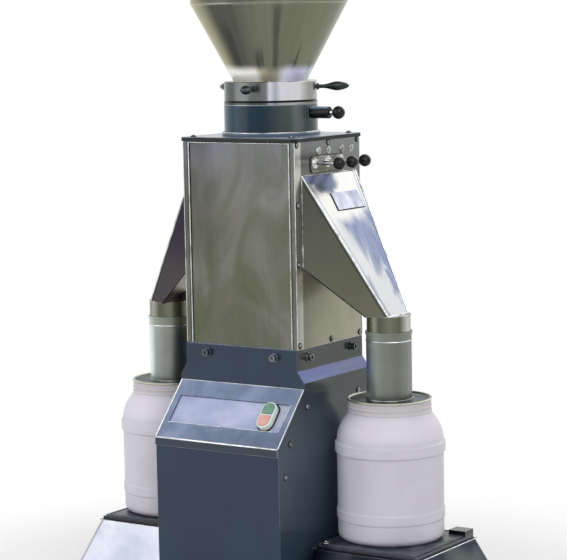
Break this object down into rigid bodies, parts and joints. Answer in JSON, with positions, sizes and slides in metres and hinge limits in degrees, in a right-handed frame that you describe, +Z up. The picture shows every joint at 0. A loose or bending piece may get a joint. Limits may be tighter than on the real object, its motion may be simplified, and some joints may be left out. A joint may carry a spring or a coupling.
{
  "type": "cone crusher",
  "caption": "Laboratory cone mill on a square tower: round hopper, adjusting ring with handles, side chutes that fill a drum on each side, slanted console with pushbuttons.",
  "frame": {"origin": "on the floor, under the middle of the machine's outline", "axes": "+Z up, +X to the right seen from the front, -Y to the front with the console"},
  "size_m": [0.8036, 0.3546, 1.1922],
  "materials": {
    "dark_paint": "satin",
    "rubber": "matt",
    "polished_steel": "polished",
    "tray_paint": "satin",
    "mat_rubber": "matt",
    "bright_steel": "bright",
    "chute_steel": "polished",
    "plate_metal": "satin",
    "housing_paint": "satin",
    "console_paint": "satin",
    "console_plate": "satin",
    "bezel_plastic": "gloss",
    "green_plastic": "gloss",
    "red_plastic": "gloss",
    "brushed_steel": "brushed",
    "chrome": "bright",
    "bolt_steel": "bright",
    "deck_paint": "gloss",
    "mill_paint": "gloss",
    "machined_steel": "turned",
    "cast_iron": "rough",
    "handle_steel": "blackened",
    "knob_plastic": "gloss",
    "hopper_steel": "spun",
    "motor_paint": "satin",
    "shaft_steel": "ground",
    "drum_plastic": "satin",
    "lid_steel": "satin"
  },
  "bodies": {
    "machine": {"base_plate": "dark_paint", "rubber_feet": "rubber", "plinth_right": "polished_steel", "plinth_left": "polished_steel", "tray_right": "tray_paint", "tray_left": "tray_paint", "mat_right": "mat_rubber", "mat_left": "mat_rubber", "tray_screws": "bright_steel", "chute_right": "chute_steel", "chute_left": "chute_steel", "name_plate": "plate_metal", "housing_body": "housing_paint", "housing_top": "housing_paint", "front_panel": "housing_paint", "console_panel": "console_paint", "console_plate": "console_plate", "switch_housing": "bezel_plastic", "tower_right": "brushed_steel", "tower_left": "brushed_steel", "tower_front": "brushed_steel", "tower_back": "brushed_steel", "gate_bushes": "chrome", "divider_roof": "brushed_steel", "cover_screws": "bright_steel", "neck_bolts": "bolt_steel", "deck_plate": "deck_paint", "mill_flange": "deck_paint", "mill_body": "mill_paint", "stator_flange": "machined_steel", "stator_cone": "cast_iron", "plunger_sleeve": "deck_paint", "motor": "motor_paint", "motor_bridge": "dark_paint", "bearing_lower": "shaft_steel", "bearing_upper": "shaft_steel", "cable_gland": "knob_plastic"},
    "drive": {"motor_shaft": "shaft_steel", "coupling_lower": "cast_iron", "coupling_upper": "cast_iron", "drive_shaft": "shaft_steel", "rotor_cone": "cast_iron"},
    "adjusting_ring": {"adjusting_ring": "machined_steel", "ring_handles": "handle_steel"},
    "hopper": {"hopper": "hopper_steel"},
    "plunger": {"index_plunger": "chrome", "plunger_knob": "knob_plastic"},
    "start_button": {"start_button": "green_plastic"},
    "stop_button": {"stop_button": "red_plastic"},
    "gate_1": {"gate_rod_1": "chrome", "gate_knob_1": "knob_plastic"},
    "gate_2": {"gate_rod_2": "chrome", "gate_knob_2": "knob_plastic"},
    "gate_3": {"gate_rod_3": "chrome", "gate_knob_3": "knob_plastic"},
    "lid_right": {"drum_lid_right": "lid_steel"},
    "lid_left": {"drum_lid_left": "lid_steel"},
    "drum_right": {"drum_right": "drum_plastic"},
    "drum_left": {"drum_left": "drum_plastic"}
  },
  "joints": [
    {"name": "drive_spin", "type": "hinge", "parent": "machine", "child": "drive", "pos_m": [-0.016, 0.02759, 0.8975], "axis": [0, 0, 1], "continuous": true},
    {"name": "gap_adjust", "type": "hinge", "parent": "machine", "child": "adjusting_ring", "pos_m": [-0.016, 0.02759, 0.952], "axis": [0, 0, 1], "range_deg": [-60, 60]},
    {"name": "hopper_lift", "type": "slide", "parent": "adjusting_ring", "child": "hopper", "axis": [0, 0, 1], "range_m": [0, 0.06]},
    {"name": "plunger_pull", "type": "slide", "parent": "machine", "child": "plunger", "axis": [1, 0, 0], "range_m": [0, 0.008], "stiffness_N_per_m": 500, "springref_m": -0.006},
    {"name": "start_press", "type": "slide", "parent": "machine", "child": "start_button", "axis": [0, 0.7314, -0.682], "range_m": [0, 0.0025], "stiffness_N_per_m": 300, "springref_m": -0.002},
    {"name": "stop_press", "type": "slide", "parent": "machine", "child": "stop_button", "axis": [0, 0.7314, -0.682], "range_m": [0, 0.0025], "stiffness_N_per_m": 300, "springref_m": -0.002},
    {"name": "gate_1_pull", "type": "slide", "parent": "machine", "child": "gate_1", "axis": [1, 0, 0], "range_m": [0, 0.04]},
    {"name": "gate_2_pull", "type": "slide", "parent": "machine", "child": "gate_2", "axis": [1, 0, 0], "range_m": [0, 0.04]},
    {"name": "gate_3_pull", "type": "slide", "parent": "machine", "child": "gate_3", "axis": [1, 0, 0], "range_m": [0, 0.04]},
    {"name": "lid_right_lift", "type": "slide", "parent": "machine", "child": "lid_right", "axis": [0, 0, 1], "range_m": [0, 0.025]},
    {"name": "lid_left_lift", "type": "slide", "parent": "machine", "child": "lid_left", "axis": [0, 0, 1], "range_m": [0, 0.025]},
    {"name": "drum_right_pull", "type": "slide", "parent": "machine", "child": "drum_right", "axis": [0.5, -0.866, 0], "range_m": [0, 0.1]},
    {"name": "drum_left_pull", "type": "slide", "parent": "machine", "child": "drum_left", "axis": [-0.5, -0.866, 0], "range_m": [0, 0.1]}
  ]
}
